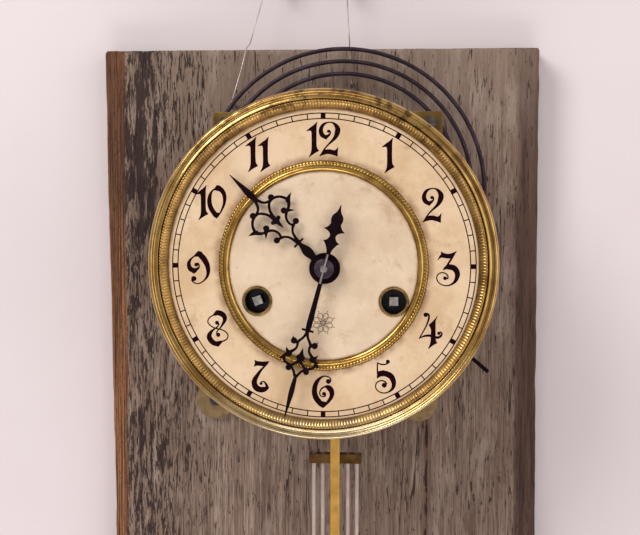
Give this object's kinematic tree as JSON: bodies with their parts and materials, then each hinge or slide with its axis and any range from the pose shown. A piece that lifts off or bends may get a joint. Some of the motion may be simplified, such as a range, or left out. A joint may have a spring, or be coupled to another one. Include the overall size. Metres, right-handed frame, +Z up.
{
  "type": "striking pendulum wall clock movement",
  "caption": "Round-dial striking wall clock movement with hands, spring trains, coil gong and gridiron pendulum on a weathered hanging board.",
  "frame": {"origin": "on the back face of the board, straight behind the arbor of the hands", "axes": "+X right as seen from the front, +Y out of the board's back towards the wall, +Z up"},
  "size_m": [0.254, 0.1385, 0.5896],
  "materials": {
    "weathered_wood": "weathered grey, rough",
    "pale_brass": "brushed",
    "gilt_brass": "polished, lightly worn",
    "dull_brass": "tarnished",
    "dark_brass": "aged dark",
    "gong_steel": "dark blued",
    "cast_iron": "black, cast",
    "steel": "ground",
    "dark_steel": "darkened",
    "blued_steel": "blued, almost black",
    "spring_steel": "blue-grey",
    "wire_steel": "dull",
    "rod_zinc": "dull silver",
    "chapter_cream": "aged cream enamel",
    "centre_pearl": "paler, pearly enamel"
  },
  "bodies": {
    "case": {"backboard": "weathered_wood", "brackets": "pale_brass", "board_screws": "dark_steel", "screw_eyes": "wire_steel", "hanging_wire": "wire_steel", "hanging_studs": "wire_steel", "gong_base": "cast_iron", "gong_coil": "gong_steel", "back_plate": "dull_brass", "front_plate": "dull_brass", "pillars": "dull_brass", "movement_screws": "dark_steel", "suspension_cock": "pale_brass", "click_springs": "spring_steel", "lever_studs": "steel", "dial_plate": "dull_brass", "chapter_ring": "chapter_cream", "centre_disc": "centre_pearl", "inner_ring": "gilt_brass", "milled_ring": "gilt_brass", "bezel": "gilt_brass", "grommets": "gilt_brass"},
    "centre": {"centre_arbor": "steel", "centre_wheel": "pale_brass", "cannon_pinion": "steel", "minute_hand": "blued_steel", "hand_washer": "dark_brass", "taper_pin": "steel"},
    "intermediate": {"intermediate_wheel": "pale_brass"},
    "going_barrel": {"barrel_going": "pale_brass", "mainspring_going": "spring_steel"},
    "going_winder": {"winding_arbor_going": "steel"},
    "going_click": {"click_going": "dark_steel"},
    "third": {"third_wheel": "pale_brass"},
    "escape": {"escape_wheel": "pale_brass"},
    "pallets": {"anchor": "dark_steel", "crutch": "dark_steel"},
    "minute_work": {"minute_wheel": "pale_brass"},
    "hour": {"hour_wheel": "pale_brass", "snail": "steel", "hour_hand": "blued_steel"},
    "strike_rack": {"rack": "dark_steel"},
    "strike_hook": {"rack_hook": "dark_steel"},
    "lifter": {"lifting_lever": "blued_steel"},
    "strike_barrel": {"barrel_strike": "pale_brass", "mainspring_strike": "spring_steel"},
    "strike_winder": {"winding_arbor_strike": "steel"},
    "strike_click": {"click_strike": "dark_steel"},
    "second": {"second_wheel": "pale_brass"},
    "pin_wheel": {"pin_wheel": "pale_brass"},
    "warning": {"warning_wheel": "pale_brass"},
    "fly": {"fly": "pale_brass"},
    "hammer": {"hammer": "dark_brass"},
    "pendulum": {"suspension_spring": "spring_steel", "pendulum_hook": "pale_brass", "pendulum_strap": "gilt_brass", "pendulum_crossbars": "dark_brass", "pendulum_rods": "rod_zinc", "bob": "gilt_brass", "rating_nut": "pale_brass"}
  },
  "joints": [
    {"name": "minute_hand_turn", "type": "hinge", "parent": "case", "child": "centre", "pos_m": [0, -0.09, 0], "axis": [0, 1, 0], "continuous": true},
    {"name": "intermediate_turn", "type": "hinge", "parent": "case", "child": "intermediate", "pos_m": [0.02204, -0.09, 0.01222], "axis": [0, 1, 0], "continuous": true},
    {"name": "going_barrel_turn", "type": "hinge", "parent": "case", "child": "going_barrel", "pos_m": [0.0354, -0.087, -0.0173], "axis": [0, 1, 0], "continuous": true},
    {"name": "going_winding", "type": "hinge", "parent": "case", "child": "going_winder", "pos_m": [0.0354, -0.09, -0.0173], "axis": [0, 1, 0], "continuous": true},
    {"name": "going_click_lift", "type": "hinge", "parent": "case", "child": "going_click", "pos_m": [0.04197, -0.114, -0.00494], "axis": [0, 1, 0], "range_deg": [0, 8]},
    {"name": "third_turn", "type": "hinge", "parent": "case", "child": "third", "pos_m": [0, -0.09, 0.0242], "axis": [0, 1, 0], "continuous": true},
    {"name": "escape_turn", "type": "hinge", "parent": "case", "child": "escape", "pos_m": [0, -0.09, 0.0422], "axis": [0, 1, 0], "continuous": true},
    {"name": "pallet_swing", "type": "hinge", "parent": "case", "child": "pallets", "pos_m": [0, -0.09, 0.0622], "axis": [0, 1, 0], "range_deg": [-3, 3]},
    {"name": "minute_work_turn", "type": "hinge", "parent": "case", "child": "minute_work", "pos_m": [-0.01018, -0.116, -0.01018], "axis": [0, 1, 0], "continuous": true},
    {"name": "hour_hand_turn", "type": "hinge", "parent": "case", "child": "hour", "pos_m": [0, -0.12, 0], "axis": [0, 1, 0], "continuous": true},
    {"name": "rack_fall", "type": "hinge", "parent": "case", "child": "strike_rack", "pos_m": [0.018, -0.119, -0.022], "axis": [0, 1, 0], "range_deg": [0, 12]},
    {"name": "rack_hook_lift", "type": "hinge", "parent": "case", "child": "strike_hook", "pos_m": [-0.022, -0.119, -0.044], "axis": [0, 1, 0], "range_deg": [0, 8]},
    {"name": "lifting_lever_move", "type": "hinge", "parent": "case", "child": "lifter", "pos_m": [0.052, -0.115, -0.027], "axis": [0, 1, 0], "range_deg": [-5, 5]},
    {"name": "strike_barrel_turn", "type": "hinge", "parent": "case", "child": "strike_barrel", "pos_m": [-0.0354, -0.087, -0.0173], "axis": [0, 1, 0], "continuous": true},
    {"name": "strike_winding", "type": "hinge", "parent": "case", "child": "strike_winder", "pos_m": [-0.0354, -0.09, -0.0173], "axis": [0, 1, 0], "continuous": true},
    {"name": "strike_click_lift", "type": "hinge", "parent": "case", "child": "strike_click", "pos_m": [-0.04197, -0.114, -0.00494], "axis": [0, 1, 0], "range_deg": [-8, 0]},
    {"name": "second_turn", "type": "hinge", "parent": "case", "child": "second", "pos_m": [-0.03089, -0.09, 0.01478], "axis": [0, 1, 0], "continuous": true},
    {"name": "pin_wheel_turn", "type": "hinge", "parent": "case", "child": "pin_wheel", "pos_m": [-0.03401, -0.09, 0.03697], "axis": [0, 1, 0], "continuous": true},
    {"name": "warning_turn", "type": "hinge", "parent": "case", "child": "warning", "pos_m": [-0.04793, -0.09, 0.04672], "axis": [0, 1, 0], "continuous": true},
    {"name": "fly_turn", "type": "hinge", "parent": "case", "child": "fly", "pos_m": [-0.04093, -0.09, 0.05884], "axis": [0, 1, 0], "continuous": true},
    {"name": "hammer_swing", "type": "hinge", "parent": "case", "child": "hammer", "pos_m": [-0.052, -0.09, 0.024], "axis": [0, 1, 0], "range_deg": [-12, 2.5]},
    {"name": "pendulum_swing", "type": "hinge", "parent": "case", "child": "pendulum", "pos_m": [0, -0.052, 0.0622], "axis": [0, 1, 0], "range_deg": [-3, 3]}
  ],
  "couplings": [
    {"joint": "intermediate_turn", "follows": "minute_hand_turn", "ratio": -0.16667},
    {"joint": "going_barrel_turn", "follows": "minute_hand_turn", "ratio": 0.020833},
    {"joint": "third_turn", "follows": "minute_hand_turn", "ratio": -10},
    {"joint": "escape_turn", "follows": "minute_hand_turn", "ratio": 80},
    {"joint": "minute_work_turn", "follows": "minute_hand_turn", "ratio": -0.33333},
    {"joint": "hour_hand_turn", "follows": "minute_hand_turn", "ratio": 0.083333},
    {"joint": "second_turn", "follows": "pin_wheel_turn", "ratio": -0.14286},
    {"joint": "strike_barrel_turn", "follows": "pin_wheel_turn", "ratio": 0.017857},
    {"joint": "warning_turn", "follows": "pin_wheel_turn", "ratio": -7.5},
    {"joint": "fly_turn", "follows": "pin_wheel_turn", "ratio": 45},
    {"joint": "pallet_swing", "follows": "pendulum_swing", "ratio": 1}
  ]
}
